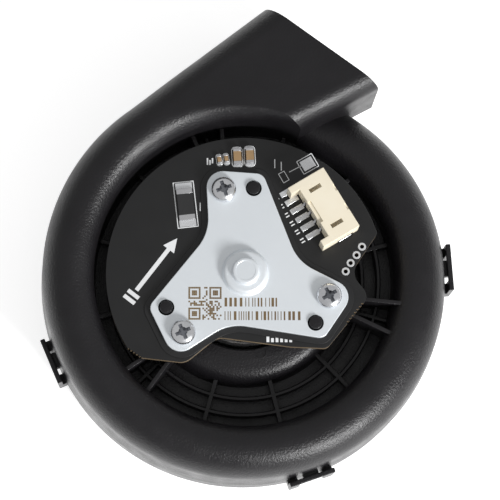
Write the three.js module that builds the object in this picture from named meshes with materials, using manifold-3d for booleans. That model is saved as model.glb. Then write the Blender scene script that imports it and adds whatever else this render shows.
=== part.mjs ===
// Centrifugal suction blower of a cleaning robot: a two-part volute housing, an outer-rotor motor under a
// round driver board, and a plated motor plate with the upper bearing's boss.
// Millimetres, +Z up. The pieces are built round the motor axis, and the whole is then moved so that the
// origin is the centre of the base. The impeller turns clockwise seen from above.
import * as THREE from "three";
import { mergeVertices } from "three/addons/utils/BufferGeometryUtils.js";
import Module from "manifold-3d";

const wasm = await Module();
wasm.setup();

// ---- Driving dimensions ----
const WALL = 1.7; // housing wall
const OUTER_R = 41; // volute outer wall
const LEAN = 0.07; // draft of the outer wall above the parting plane
const THROAT_R = 30; // recess wall
const BASE_Z = 2; // underside of the volute
const PART_Z = 14; // parting plane of the two housings
const PART_GAP = 0.1;
const FLOOR_Z = 15.5; // top of the recess floor
const CREST_START = 22; // volute top at the tongue
const CREST_END = 33.5; // volute top at the duct
const TONGUE_DEG = 69; // volute start, from +X
const DUCT_DEG = -235; // where the duct leaves the round volute
const CHAMBER_START_DEG = 50; // volute chamber start
const OUTLET_OUTER = [3.2, 54.1]; // outlet corner on the straight outer wall
const OUTLET_INNER = [26.7, 37]; // outlet corner on the tongue side
const TONGUE_POINT = [30.8, 69]; // radius and angle at which the tongue wall leaves the recess wall
const BELLY = 3.2; // how far the duct's lower tongue side slants in
const LEAST_BELLY = 0.05; // elsewhere, so that the section keeps its corner at the parting plane
const INLET_R = 12.5;
const INLET_RING_R = 17;

const SCREW_R = 17.2; // motor plate screws, from the axis
const SCREW_DEG = -15.7;
const POST_R = 17.1; // locating posts
const POST_DEG = -35.8;
const LOBE_DEG = 120;
const LOBES = 3;

const PCB_Z = 25; // underside of the driver board
const PCB_T = 1.6;
const PCB_TOP = PCB_Z + PCB_T;
const FILM_Z = PCB_TOP + 0.05;
const FILM_T = 0.2;
const PLATE_Z = FILM_Z + FILM_T + 0.05;
const PLATE_T = 1;
const PLATE_TOP = PLATE_Z + PLATE_T;

const SHAFT_R = 1.5;
const BEARING_R = 3.98;
const BEARING_H = 3;
const UPPER_BEARING_Z = 25.4;
const LOWER_BEARING_Z = 18.7;
const TUBE_Z = 17.9;

const COILS = 9;
const STATOR_Z = 18.3;
const STATOR_H = 4.6;
const STATOR_R = 10.5;

const BLADES = 9;
const IMPELLER_R = 28;
const IMPELLER_Z = 4.7;

const BLACK = { color: 0x1f1e20, roughness: 0.55, metalness: 0 };
const BOARD = { color: 0x17181a, roughness: 0.6, metalness: 0 };
const ZINC = { color: 0xc9ced2, roughness: 0.35, metalness: 0.9 };
const STEEL = { color: 0xb0b3b8, roughness: 0.3, metalness: 1 };
const DARK_STEEL = { color: 0x55585c, roughness: 0.45, metalness: 0.9 };
const COPPER = { color: 0xa85a2a, roughness: 0.35, metalness: 0.9 };
const BRASS = { color: 0xb9974e, roughness: 0.35, metalness: 0.9 };
const IVORY = { color: 0xe9e0cc, roughness: 0.5, metalness: 0 };
const TIN = { color: 0xbfc3c6, roughness: 0.35, metalness: 0.9 };
const CERAMIC = { color: 0x9a7d58, roughness: 0.6, metalness: 0 };
const EPOXY = { color: 0x141415, roughness: 0.5, metalness: 0 };
const FERRITE = { color: 0x38393b, roughness: 0.7, metalness: 0.1 };
const NYLON = { color: 0xd8d4c6, roughness: 0.6, metalness: 0 };

// ---- Solids ----

// A closed geometry as a solid, faces outward.
function solid(geometry) {
  const bare = geometry.clone();
  bare.deleteAttribute("normal");
  bare.deleteAttribute("uv");
  const merged = mergeVertices(bare, 1e-4);
  const vertProperties = merged.attributes.position.array;
  const triVerts = new Uint32Array(merged.index.array);
  const made = new wasm.Manifold(new wasm.Mesh({ numProp: 3, vertProperties, triVerts }));
  if (made.volume() > 0) return made;
  return new wasm.Manifold(
    new wasm.Mesh({ numProp: 3, vertProperties, triVerts: triVerts.reverse() }),
  );
}

const join = (...solids) => solids.flat().reduce((all, one) => all.add(one));
const cut = (from, ...tools) => from.subtract(join(...tools));

function geometryOf(made) {
  const mesh = made.getMesh();
  return new THREE.BufferGeometry()
    .setAttribute("position", new THREE.BufferAttribute(mesh.vertProperties, 3))
    .setIndex(new THREE.BufferAttribute(mesh.triVerts, 1));
}

const radians = THREE.MathUtils.degToRad;
const polar = (r, deg) => [r * Math.cos(radians(deg)), r * Math.sin(radians(deg))];

// A body of revolution about Z. The profile is a list of [radius, z], closed by the function.
function turned(profile, segments = 28) {
  const points = [...profile, profile[0]].map(([r, z]) => new THREE.Vector2(r, z));
  return solid(new THREE.LatheGeometry(points, segments).rotateX(Math.PI / 2));
}

const ring = (rIn, rOut, z0, z1, segments = 28) =>
  turned([[rIn, z0], [rOut, z0], [rOut, z1], [rIn, z1]], segments);

function disc(r, z0, z1, [x, y] = [0, 0], segments = 16) {
  const geometry = new THREE.CylinderGeometry(r, r, z1 - z0, segments).rotateX(Math.PI / 2);
  return solid(geometry.translate(x, y, (z0 + z1) / 2));
}

// A block given by its two corners, then turned about Z and moved.
function block([x0, y0, z0], [x1, y1, z1], deg = 0, [x, y] = [0, 0]) {
  const geometry = new THREE.BoxGeometry(x1 - x0, y1 - y0, z1 - z0);
  geometry.translate((x0 + x1) / 2, (y0 + y1) / 2, (z0 + z1) / 2);
  return solid(geometry.rotateZ(radians(deg)).translate(x, y, 0));
}

function prism(points, z0, z1) {
  const shape = new THREE.Shape(points.map(([x, y]) => new THREE.Vector2(x, y)));
  const geometry = new THREE.ExtrudeGeometry(shape, { depth: z1 - z0, bevelEnabled: false });
  return solid(geometry.translate(0, 0, z0));
}

// A solid through a row of closed sections, each a list of [x, y, z] with its flat outline.
function loft(sections) {
  const count = sections[0].points.length;
  const positions = sections.flatMap((s) => s.points.flat());
  const index = [];
  for (let i = 0; i + 1 < sections.length; i++) {
    for (let j = 0; j < count; j++) {
      const a = i * count + j;
      const b = i * count + ((j + 1) % count);
      index.push(a, b, b + count, a, b + count, a + count);
    }
  }
  const outline = sections[0].flat.map(([s, z]) => new THREE.Vector2(s, z));
  const last = (sections.length - 1) * count;
  for (const [a, b, c] of THREE.ShapeUtils.triangulateShape(outline, [])) {
    index.push(a, c, b, last + a, last + b, last + c);
  }
  const geometry = new THREE.BufferGeometry();
  geometry.setAttribute("position", new THREE.Float32BufferAttribute(positions, 3));
  return solid(geometry.setIndex(index));
}

// ---- Outlines ----

// A closed outline of corners [x, y, fillet radius], its round corners as arcs.
function filleted(corners, steps = 3) {
  return corners.flatMap(([x, y, r], i) => {
    if (!r) return [[x, y]];
    const here = new THREE.Vector2(x, y);
    const before = corners.at(i - 1);
    const after = corners[(i + 1) % corners.length];
    const back = new THREE.Vector2(before[0] - x, before[1] - y).normalize();
    const on = new THREE.Vector2(after[0] - x, after[1] - y).normalize();
    const half = Math.acos(THREE.MathUtils.clamp(back.dot(on), -1, 1)) / 2;
    const middle = back.clone().add(on).normalize().multiplyScalar(r / Math.sin(half)).add(here);
    const start = here.clone().addScaledVector(back, r / Math.tan(half)).sub(middle);
    const turn = (Math.PI - 2 * half) * -Math.sign(back.cross(on));
    return Array.from({ length: steps + 1 }, (_, k) => {
      const p = start.clone().rotateAround(new THREE.Vector2(), (turn * k) / steps).add(middle);
      return [p.x, p.y];
    });
  });
}

// The same corners with each side moved outward, the outline running counter-clockwise.
function widened(corners, by) {
  const normal = (a, b) => new THREE.Vector2(b[1] - a[1], a[0] - b[0]).normalize();
  return corners.map(([x, y, r], i) => {
    const before = corners.at(i - 1);
    const after = corners[(i + 1) % corners.length];
    const n1 = normal(before, [x, y]);
    const n2 = normal([x, y], after);
    const k = by / (1 + n1.dot(n2));
    const convex = n1.cross(n2) > 0;
    return [x + (n1.x + n2.x) * k, y + (n1.y + n2.y) * k, Math.max(0.2, r + (convex ? by : -by))];
  });
}

// The motor plate's lobe: blunt outer end between two fillets, then the waist to the next lobe.
const PLATE_LOBE = [
  [15.5, -13.1, 2],
  [21.9, -3.6, 3.3],
  [10.4, 2.3, 9],
];

function plateCorners() {
  const corners = [];
  for (let lobe = 0; lobe < LOBES; lobe++) {
    for (const [x, y, r] of PLATE_LOBE) {
      const p = new THREE.Vector2(x, y).rotateAround(new THREE.Vector2(), radians(LOBE_DEG * lobe));
      corners.push([p.x, p.y, r]);
    }
  }
  return corners;
}

// The driver board: a circle, cut back along its lower side to follow the plate.
const PCB_R = 27.6;
const PCB_ARC_DEG = [20, 213];
const PCB_LOWER_SIDE = [
  [-20.5, -16.8, 0],
  [-11.8, -17.8, 3],
  [-5.5, -12.7, 3],
  [9.1, -14.6, 8],
  [16.2, -14.9, 1.6],
  [24.7, -4.4, 2.2],
  [21, 0.1, 3],
  [26.4, 8.2, 1],
];

function boardOutline(steps = 24) {
  const [from, to] = PCB_ARC_DEG;
  const arc = Array.from({ length: steps + 1 }, (_, i) =>
    [...polar(PCB_R, from + ((to - from) * i) / steps), 0]);
  return filleted([...arc, ...PCB_LOWER_SIDE], 2);
}

// ---- Volute ----

const crestAt = (deg) =>
  THREE.MathUtils.mapLinear(deg, TONGUE_DEG, DUCT_DEG, CREST_START, CREST_END);

// Quarter ellipse points about a corner of the section.
function bend([s, z], [ds, dz], from, to, steps) {
  return Array.from({ length: steps + 1 }, (_, i) => {
    const a = radians(from + ((to - from) * i) / steps);
    return [s + ds * Math.cos(a), z + dz * Math.sin(a)];
  });
}

// The section across the volute wall: s runs from the inner to the outer wall, z is the height.
function voluteSection(width, top, inset, belly) {
  const base = BASE_Z + inset;
  const w0 = inset;
  const w1 = width - inset;
  const high = top - inset;
  const inner = 4.5 - inset;
  const outer = 6.5 - inset;
  const foot = 5 - inset;
  const lean = LEAN * Math.max(0, high - outer - PART_Z);
  return [
    [w0, PART_Z - PART_GAP],
    [w0 + belly, base],
    ...bend([w1 - foot, base + foot], [foot, foot], -90, 0, 2),
    [w1, PART_Z],
    ...bend([w1 - outer, high - outer], [outer - lean, outer], 0, 90, 3),
    ...bend([w0 + inner, high - inner], [inner, inner], 90, 180, 3),
  ];
}

function stationBetween([ax, ay], [bx, by], top, inset, belly = LEAST_BELLY) {
  const width = Math.hypot(bx - ax, by - ay);
  const flat = voluteSection(width, top, inset, belly);
  const points = flat.map(([s, z]) => [
    ax + ((bx - ax) * s) / width,
    ay + ((by - ay) * s) / width,
    z,
  ]);
  return { flat, points };
}

function roundVolute(inset, startDeg) {
  const stations = 36;
  const endDeg = DUCT_DEG - 1;
  return loft(Array.from({ length: stations + 1 }, (_, i) => {
    const deg = startDeg + ((endDeg - startDeg) * i) / stations;
    return stationBetween(polar(THROAT_R, deg), polar(OUTER_R, deg), crestAt(deg), inset);
  }));
}

// The duct's walls: outer straight from the volute, inner round the recess and then along the tongue.
function ductWalls(t) {
  const [x0, y0] = polar(OUTER_R, DUCT_DEG);
  const outer = [
    x0 + (OUTLET_OUTER[0] - x0) * t,
    y0 + (OUTLET_OUTER[1] - y0) * t,
  ];
  const turn = 0.5; // share of the way at which the inner wall leaves the recess
  const along = Math.min(1, t / turn);
  const startDeg = DUCT_DEG + 360;
  const [r, deg] = TONGUE_POINT;
  const tongue = polar(THROAT_R + (r - THROAT_R) * along, startDeg + (deg - startDeg) * along);
  if (t <= turn) return [tongue, outer];
  const on = (t - turn) / (1 - turn);
  const inner = tongue.map((v, k) => v + (OUTLET_INNER[k] - v) * on);
  return [inner, outer];
}

function duct(inset, past) {
  const stations = 8;
  return loft(Array.from({ length: stations + 1 }, (_, i) => {
    const t = i === stations ? 1 + past : i / stations;
    const [inner, outer] = ductWalls(t);
    return stationBetween(inner, outer, CREST_END, inset, LEAST_BELLY + BELLY * Math.min(1, 2 * t));
  }));
}

function voluteOuter() {
  const block = disc(THROAT_R + 1, BASE_Z, FLOOR_Z, [0, 0], 48);
  const inletRing = disc(INLET_RING_R, 0, BASE_Z + 1, [0, 0], 36);
  return join(roundVolute(0, TONGUE_DEG), duct(0, 0), block, inletRing);
}

function voluteChamber() {
  const impellerRoom = disc(THROAT_R + WALL + 0.2, BASE_Z + WALL, PART_Z, [0, 0], 48);
  const eye = disc(INLET_R, -1, BASE_Z + WALL + 1, [0, 0], 36);
  return join(roundVolute(WALL, CHAMBER_START_DEG), duct(WALL, 0.08), impellerRoom, eye);
}

// ---- Housing details ----

const RING_RIBS = [24, 27.3];
const RIB_T = 0.9;
const RIB_TOP = 18;
const POD_TOP = 20.8;
const POD_R = 16.2;
const POD_FOOT_R = 21;
const CUP_R = 14.4;
const BOSS_R = 3.3;
const BOSS_TOP = PCB_Z - 0.05;
const ARM_TOP = 24;

const lobeAngles = (deg) => Array.from({ length: LOBES }, (_, i) => deg - LOBE_DEG * i);

function floorRibs() {
  const rings = RING_RIBS.map((r) => ring(r - RIB_T / 2, r + RIB_T / 2, FLOOR_Z - 0.5, RIB_TOP, 36));
  const spokes = Array.from({ length: 12 }, (_, i) =>
    block([POD_FOOT_R - 1, -RIB_T / 2, FLOOR_Z - 0.5], [THROAT_R + 1, RIB_T / 2, RIB_TOP],
      SCREW_DEG + 30 * i));
  return join(rings, spokes);
}

function motorPod() {
  return turned([
    [CUP_R, FLOOR_Z - 0.5],
    [POD_FOOT_R + 0.6, FLOOR_Z - 0.5],
    [POD_FOOT_R, RIB_TOP],
    [POD_R, POD_TOP],
    [CUP_R, POD_TOP],
  ], 36);
}

// A pair of thin walls that spread from a screw boss to the recess wall.
function arm(deg) {
  const near = [18, 1.35];
  const far = [33, 3.95];
  const t = 0.9;
  return [1, -1].map((side) =>
    prism([
      [near[0], side * near[1]],
      [far[0], side * far[1]],
      [far[0], side * (far[1] - t)],
      [near[0], side * (near[1] - t)],
    ], FLOOR_Z - 0.5, ARM_TOP).rotate([0, 0, deg]));
}

function plateSeats() {
  const bosses = lobeAngles(SCREW_DEG).map((deg) => disc(BOSS_R, FLOOR_Z - 0.5, BOSS_TOP, polar(SCREW_R, deg)));
  const seats = lobeAngles(POST_DEG).map((deg) => disc(2.4, FLOOR_Z - 0.5, BOSS_TOP, polar(POST_R, deg), 12));
  const posts = lobeAngles(POST_DEG).map((deg) => disc(1.3, BOSS_TOP - 1, PLATE_TOP + 0.7, polar(POST_R, deg), 12));
  return join(bosses, seats, posts, lobeAngles(SCREW_DEG).flatMap(arm));
}

const CLIP_DEGS = [4, -71, -157];
const CLIP_LENGTH = 9.5;
const CLIP_OUT = 1.5; // how far the loops stand off the wall
const CLIP_BAR = 1;
const CLIP_LEG = 2.2;
const CLIP_TOP = 18;

function snapLoop(deg) {
  const half = CLIP_LENGTH / 2;
  const face = OUTER_R + CLIP_OUT;
  const legs = [1, -1].flatMap((side) => {
    const y0 = Math.min(side * half, side * (half - CLIP_LEG));
    const y1 = y0 + CLIP_LEG;
    return [
      block([OUTER_R - 0.8, y0, 9], [face, y1, PART_Z - 1], deg),
      block([face - CLIP_BAR, y0, 9], [face, y1, CLIP_TOP], deg),
    ];
  });
  const bar = block([face - CLIP_BAR, -half, CLIP_TOP - CLIP_BAR], [face, half, CLIP_TOP], deg);
  return [...legs, bar];
}

const snapCatch = (deg) =>
  block([OUTER_R - 0.8, -1.6, PART_Z + 0.2], [OUTER_R + CLIP_OUT - 0.2, 1.6, CLIP_TOP - CLIP_BAR - 0.25], deg);

const shaftHole = () => disc(4.5, PART_Z - 1, FLOOR_Z + 1);

function upperHousing(outer, chamber) {
  const tall = CREST_END + 10;
  const above = block([-80, -80, PART_Z], [80, 80, tall]);
  const full = join(outer, floorRibs(), motorPod(), plateSeats(), CLIP_DEGS.map(snapCatch));
  const screwHoles = lobeAngles(SCREW_DEG).map((deg) => disc(1.25, 18, tall, polar(SCREW_R, deg), 12));
  return cut(full, chamber, shaftHole(), screwHoles).intersect(above);
}

function lowerHousing(outer, chamber) {
  const below = block([-80, -80, -5], [80, 80, PART_Z - PART_GAP]);
  return join(cut(outer, chamber).intersect(below), CLIP_DEGS.flatMap(snapLoop));
}

// ---- Motor plate, board and what is on it ----

function motorPlate() {
  const sheet = prism(filleted(plateCorners()), PLATE_Z, PLATE_TOP);
  const boss = turned([
    [0, PLATE_Z],
    [4.45, PLATE_Z],
    [4.45, PLATE_TOP + 0.7],
    [4.2, PLATE_TOP + 1.2],
    [3.65, PLATE_TOP + 1.45],
    [2.65, PLATE_TOP + 1.55],
    [2.65, PLATE_TOP + 2.3],
    [1.95, PLATE_TOP + 2.7],
    [0, PLATE_TOP + 2.7],
  ], 24);
  const bore = turned([
    [0, PLATE_Z - 1],
    [BEARING_R + 0.05, PLATE_Z - 1],
    [BEARING_R + 0.05, PLATE_TOP + 0.65],
    [3.3, PLATE_TOP + 0.65],
    [3.3, PLATE_TOP + 1.1],
    [2, PLATE_TOP + 1.1],
    [2, PLATE_TOP + 2.1],
    [0, PLATE_TOP + 2.1],
  ], 24);
  return cut(join(sheet, boss), bore, plateHoles(1.45, 1.6));
}

// Holes for the screws and the locating posts, through whatever is on the plate's pattern.
function plateHoles(screwHoleR, postHoleR) {
  const low = PCB_Z - 1;
  const high = PLATE_TOP + 1;
  return [
    ...lobeAngles(SCREW_DEG).map((deg) => disc(screwHoleR, low, high, polar(SCREW_R, deg), 12)),
    ...lobeAngles(POST_DEG).map((deg) => disc(postHoleR, low, high, polar(POST_R, deg), 12)),
  ];
}

function insulatorFilm() {
  const sheet = prism(filleted(widened(plateCorners(), 1.2)), FILM_Z, FILM_Z + FILM_T);
  return cut(sheet, disc(5.5, FILM_Z - 1, PLATE_Z), plateHoles(1.5, 1.7));
}

const RING_PADS = [[23.3, 5.5], [22.2, 3.8], [21, 2.2], [20, 0.5]];

function driverBoard() {
  const sheet = prism(boardOutline(), PCB_Z, PCB_TOP);
  const ringPads = RING_PADS.map((at) => disc(0.4, PCB_Z - 1, PCB_TOP + 1, at, 8));
  return cut(sheet, disc(6.2, PCB_Z - 1, PCB_TOP + 1), plateHoles(1.5, 1.45), ringPads);
}

function screw(deg) {
  const head = turned([
    [0, PLATE_TOP + 0.02],
    [2.5, PLATE_TOP + 0.02],
    [2.5, PLATE_TOP + 0.9],
    [2.1, PLATE_TOP + 1.5],
    [1.2, PLATE_TOP + 1.8],
    [0, PLATE_TOP + 1.85],
  ], 16);
  const shank = disc(1.12, 19, PLATE_TOP + 0.5, [0, 0], 12);
  const slots = [0, 90].map((turn) =>
    block([-1.4, -0.3, PLATE_TOP + 0.7], [1.4, 0.3, PLATE_TOP + 3], turn));
  const [x, y] = polar(SCREW_R, deg);
  return cut(join(head, shank), slots).rotate([0, 0, deg]).translate([x, y, 0]);
}

// The header lies on the board with its mouth towards the rim; its own frame has the mouth at +X.
const PIN_ROW_MIDDLE = [14.3, 11.9];
const HEADER_DEG = 31;
const PIN_PITCH = 2;
const PINS = 4;
const HEADER_L = 13.8;
const HEADER_D = 6.4;
const HEADER_H = 5;
const HEADER_Z = PCB_TOP + 0.1;

const onHeader = (made) =>
  made.rotate([0, 0, HEADER_DEG]).translate([...PIN_ROW_MIDDLE, 0]);
const pinRow = () => Array.from({ length: PINS }, (_, i) => (i - (PINS - 1) / 2) * PIN_PITCH);

function headerBody() {
  const back = -1;
  const front = back + HEADER_D;
  const half = HEADER_L / 2;
  const top = HEADER_Z + HEADER_H;
  const ears = [-half, half - 1.5].map((y) => block([back - 1.9, y, HEADER_Z], [back + 1, y + 1.5, top]));
  const body = join(block([back, -half, HEADER_Z], [front, half, top]), ears);
  const mouth = block([back + 1.4, -half + 2, HEADER_Z + 0.8], [front + 1, half - 2, top - 0.8]);
  const windows = [1, -1].map((side) =>
    block([back + 1.5, side * 4.1 - 0.45, top - 2], [back + 4.1, side * 4.1 + 0.45, top + 1]));
  const tabRooms = [1, -1].map((side) => {
    const y0 = Math.min(side * (half - 1.5), side * (half + 1));
    return block([back + 1.6, y0, HEADER_Z - 1], [front - 1.2, y0 + 2.5, HEADER_Z + 1.6]);
  });
  const pinRooms = pinRow().map((y) =>
    block([back - 1, y - 0.45, HEADER_Z + 1.6], [back + 2, y + 0.45, HEADER_Z + 2.8]));
  const tailRooms = pinRow().map((y) =>
    block([back - 1, y - 0.45, HEADER_Z - 1], [back + 0.45, y + 0.45, HEADER_Z + 2.8]));
  return onHeader(cut(body, mouth, windows, tabRooms, pinRooms, tailRooms));
}

function headerPin(y) {
  const w = 0.25;
  const blade = block([-1.1, y - w, HEADER_Z + 1.95], [4, y + w, HEADER_Z + 2.45]);
  const drop = block([-1.1, y - w, HEADER_Z], [-0.7, y + w, HEADER_Z + 2.45]);
  const tail = block([-3.9, y - w, HEADER_Z], [-0.7, y + w, HEADER_Z + 0.35]);
  return onHeader(join(blade, drop, tail));
}

function headerTab(side) {
  const y = side * (HEADER_L / 2 - 0.8);
  const foot = block([1.2, y - 0.35, HEADER_Z], [3.6, y + 0.35, HEADER_Z + 0.3]);
  const upright = block([1.2, y - 0.35, HEADER_Z], [3.6, y - 0.05, HEADER_Z + 1.2]);
  return onHeader(join(foot, upright));
}

// Two-terminal chips: centre, length along the terminals, width, height, turn from +X.
const CHIPS = {
  shunt_resistor: { at: [-11.8, 13.9], size: [6.4, 3.2, 0.6], deg: 96.5, finish: EPOXY },
  capacitor_1: { at: [-1.5, 23.6], size: [3.2, 1.6, 1.2], deg: 93, finish: CERAMIC },
  capacitor_2: { at: [1, 23.8], size: [3.2, 1.6, 1.2], deg: 93, finish: CERAMIC },
  capacitor_3: { at: [-5.1, 23], size: [1.6, 0.8, 0.8], deg: 100, finish: CERAMIC },
  capacitor_4: { at: [-3.7, 23.2], size: [1.6, 0.8, 0.8], deg: 100, finish: CERAMIC },
};

// Packages on the underside of the board.
const UNDERSIDE = {
  driver_chip: { at: [-20, 7], size: [5, 5, 0.85], deg: 45 },
  mosfet_1: { at: [-20.5, -1], size: [3.3, 3.3, 0.8], deg: 0 },
  mosfet_2: { at: [-14.3, 16.3], size: [3.3, 3.3, 0.8], deg: 45 },
  mosfet_3: { at: [-9.5, 20.5], size: [3.3, 3.3, 0.8], deg: 20 },
};

const package3 = ({ at, size: [l, w, h], deg }, z0) =>
  block([-l / 2, -w / 2, z0], [l / 2, w / 2, z0 + h], deg, at);

// ---- Motor ----

function bearingTube() {
  return turned([
    [3.4, TUBE_Z],
    [5.2, TUBE_Z],
    [5.2, PLATE_Z - 0.05],
    [BEARING_R + 0.05, PLATE_Z - 0.05],
    [BEARING_R + 0.05, TUBE_Z + 0.4],
    [3.4, TUBE_Z + 0.4],
  ], 24);
}

const BALLS = 7;
const BALL_R = 0.5;
const BALL_CIRCLE_R = 2.75;

function ballCage(z0) {
  const middle = z0 + BEARING_H / 2;
  const balls = Array.from({ length: BALLS }, (_, i) => {
    const [x, y] = polar(BALL_CIRCLE_R, (360 * i) / BALLS);
    return solid(new THREE.IcosahedronGeometry(BALL_R, 0).translate(x, y, middle));
  });
  return join(ring(2.57, 2.93, middle - 0.3, middle + 0.3, 14), balls);
}

function statorCore() {
  const top = STATOR_Z + STATOR_H;
  const teeth = Array.from({ length: COILS }, (_, i) => {
    const deg = (360 * i) / COILS;
    const tip = [...Array.from({ length: 3 }, (_, k) => polar(STATOR_R, -16 + 16 * k)),
      ...Array.from({ length: 3 }, (_, k) => polar(STATOR_R - 1.1, 16 - 16 * k))];
    return [
      block([6.4, -1.2, STATOR_Z], [STATOR_R - 0.6, 1.2, top], deg),
      prism(tip, STATOR_Z, top).rotate([0, 0, deg]),
    ];
  });
  return join(ring(5.25, 6.8, STATOR_Z, top, 24), teeth.flat());
}

function coil(deg) {
  const middle = STATOR_Z + STATOR_H / 2;
  const turns = block([7, -2.15, middle - 3.15], [9, 2.15, middle + 3.15]);
  const tooth = block([6, -1.3, middle - 2.45], [10, 1.3, middle + 2.45]);
  return cut(turns, tooth).rotate([0, 0, deg]);
}

const ROTOR_Z = 16.2;

function rotorCup() {
  return turned([
    [3.3, ROTOR_Z],
    [13.2, ROTOR_Z],
    [13.7, ROTOR_Z + 0.5],
    [13.7, 24],
    [12.9, 24],
    [12.9, ROTOR_Z + 1],
    [3.3, ROTOR_Z + 1],
  ], 32);
}

// ---- Impeller ----

const BACK_Z = 12.6;
const EYE_R = 12.5;

// A blade that leans back from the turning direction as it runs out.
function blade(deg) {
  const steps = 5;
  const thick = 0.8;
  const side = (offset) => Array.from({ length: steps + 1 }, (_, i) => {
    const r = 8.5 + ((IMPELLER_R - 0.3 - 8.5) * i) / steps;
    const at = deg + 52 * Math.sqrt(i / steps);
    const [x, y] = polar(r, at);
    const [nx, ny] = polar(offset, at + 90 - 25);
    return [x + nx, y + ny];
  });
  return prism([...side(-thick / 2), ...side(thick / 2).reverse()], IMPELLER_Z + 0.85, BACK_Z + 0.3);
}

function impeller() {
  const back = turned([
    [SHAFT_R + 0.05, 8],
    [3.6, 8],
    [5.5, 10.8],
    [9.5, BACK_Z],
    [IMPELLER_R, BACK_Z],
    [IMPELLER_R, BACK_Z + 0.8],
    [SHAFT_R + 0.05, BACK_Z + 0.8],
  ], 36);
  return join(back, Array.from({ length: BLADES }, (_, i) => blade((360 * i) / BLADES)));
}

function impellerShroud() {
  return turned([
    [EYE_R, IMPELLER_Z - 0.3],
    [EYE_R + 1.2, IMPELLER_Z],
    [IMPELLER_R, IMPELLER_Z],
    [IMPELLER_R, IMPELLER_Z + 0.8],
    [EYE_R, IMPELLER_Z + 0.8],
  ], 36);
}

// ---- Assembly ----

const model = new THREE.Group();

function add(name, made, finish) {
  const mesh = new THREE.Mesh(geometryOf(made), new THREE.MeshStandardMaterial(finish));
  mesh.name = name;
  model.add(mesh);
}

const outer = voluteOuter();
const chamber = voluteChamber();
add("upper_housing", upperHousing(outer, chamber), BLACK);
add("lower_housing", lowerHousing(outer, chamber), BLACK);
add("motor_plate", motorPlate(), ZINC);
add("insulator_film", insulatorFilm(), EPOXY);
add("driver_pcb", driverBoard(), BOARD);
lobeAngles(SCREW_DEG).forEach((deg, i) => add(`plate_screw_${i + 1}`, screw(deg), ZINC));
add("connector_housing", headerBody(), IVORY);
pinRow().forEach((y, i) => add(`connector_pin_${i + 1}`, headerPin(y), TIN));
[1, -1].forEach((side, i) => add(`connector_solder_tab_${i + 1}`, headerTab(side), TIN));
for (const [name, chip] of Object.entries(CHIPS)) add(name, package3(chip, PCB_TOP + 0.05), chip.finish);
for (const [name, chip] of Object.entries(UNDERSIDE)) {
  add(name, package3(chip, PCB_Z - chip.size[2] - 0.05), EPOXY);
}

add("bearing_tube", bearingTube(), BRASS);
for (const [name, z] of [["upper", UPPER_BEARING_Z], ["lower", LOWER_BEARING_Z]]) {
  add(`${name}_bearing_outer_ring`, ring(3.3, BEARING_R, z, z + BEARING_H, 20), STEEL);
  add(`${name}_bearing_inner_ring`, ring(SHAFT_R + 0.05, 2.2, z, z + BEARING_H, 16), STEEL);
  add(`${name}_ball_cage`, ballCage(z), STEEL);
}
add("preload_spring", ring(3.45, 3.9, TUBE_Z + 0.45, LOWER_BEARING_Z - 0.05, 16), STEEL);
add("stator_core", statorCore(), DARK_STEEL);
add("stator_insulator_upper", ring(5.3, 6.8, STATOR_Z + STATOR_H + 0.05, STATOR_Z + STATOR_H + 0.8, 20), NYLON);
add("stator_insulator_lower", ring(5.3, 6.8, STATOR_Z - 0.7, STATOR_Z - 0.05, 20), NYLON);
for (let i = 0; i < COILS; i++) add(`coil_${i + 1}`, coil((360 * i) / COILS), COPPER);
add("motor_shaft", disc(SHAFT_R, 7, 29.8), STEEL);
add("retaining_ring", ring(SHAFT_R + 0.05, 2.7, 28.45, 28.8, 16), STEEL);
add("rotor_cup", rotorCup(), DARK_STEEL);
add("rotor_magnet", ring(10.9, 12.8, ROTOR_Z + 1.3, 23.6, 32), FERRITE);
add("rotor_bushing", ring(SHAFT_R + 0.05, 3.2, ROTOR_Z - 0.3, ROTOR_Z + 1.2, 16), BRASS);
add("impeller", impeller(), BLACK);
add("impeller_shroud", impellerShroud(), BLACK);

// The origin is the centre of the base.
const bounds = new THREE.Box3().setFromObject(model);
const centre = bounds.getCenter(new THREE.Vector3());
model.position.set(-centre.x, -centre.y, -bounds.min.z);

export default model;
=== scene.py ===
"""Centrifugal suction blower: the looks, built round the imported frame.

Pieces are modelled in millimetres round the motor axis, and place() puts them into the frame.
"""
import math
import random

import bmesh
import bpy
from mathutils import Matrix, Vector


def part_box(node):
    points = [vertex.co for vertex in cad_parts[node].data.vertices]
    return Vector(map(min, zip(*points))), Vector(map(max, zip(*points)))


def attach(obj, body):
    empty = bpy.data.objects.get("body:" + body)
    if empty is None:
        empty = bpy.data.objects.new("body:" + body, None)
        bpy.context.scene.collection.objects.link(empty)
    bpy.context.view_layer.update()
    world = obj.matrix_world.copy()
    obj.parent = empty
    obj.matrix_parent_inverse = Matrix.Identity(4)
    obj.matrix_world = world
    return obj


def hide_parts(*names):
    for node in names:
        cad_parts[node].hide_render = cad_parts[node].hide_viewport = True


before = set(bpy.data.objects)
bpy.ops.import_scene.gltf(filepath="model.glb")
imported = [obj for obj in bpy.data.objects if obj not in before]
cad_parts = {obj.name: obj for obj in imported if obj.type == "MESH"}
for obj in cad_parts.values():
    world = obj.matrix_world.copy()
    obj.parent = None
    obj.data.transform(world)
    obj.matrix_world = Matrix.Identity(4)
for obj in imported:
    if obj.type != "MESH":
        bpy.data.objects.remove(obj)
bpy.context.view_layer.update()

MM = 0.001
BODY = "blower_frame"


def level(node, end):
    """Height of a node's lowest (0) or highest (1) point, in millimetres."""
    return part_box(node)[end].z / MM


def node_middle(node):
    low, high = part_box(node)
    return (low + high) / 2


AXIS = node_middle("motor_shaft")
AXIS.z = 0

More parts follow.
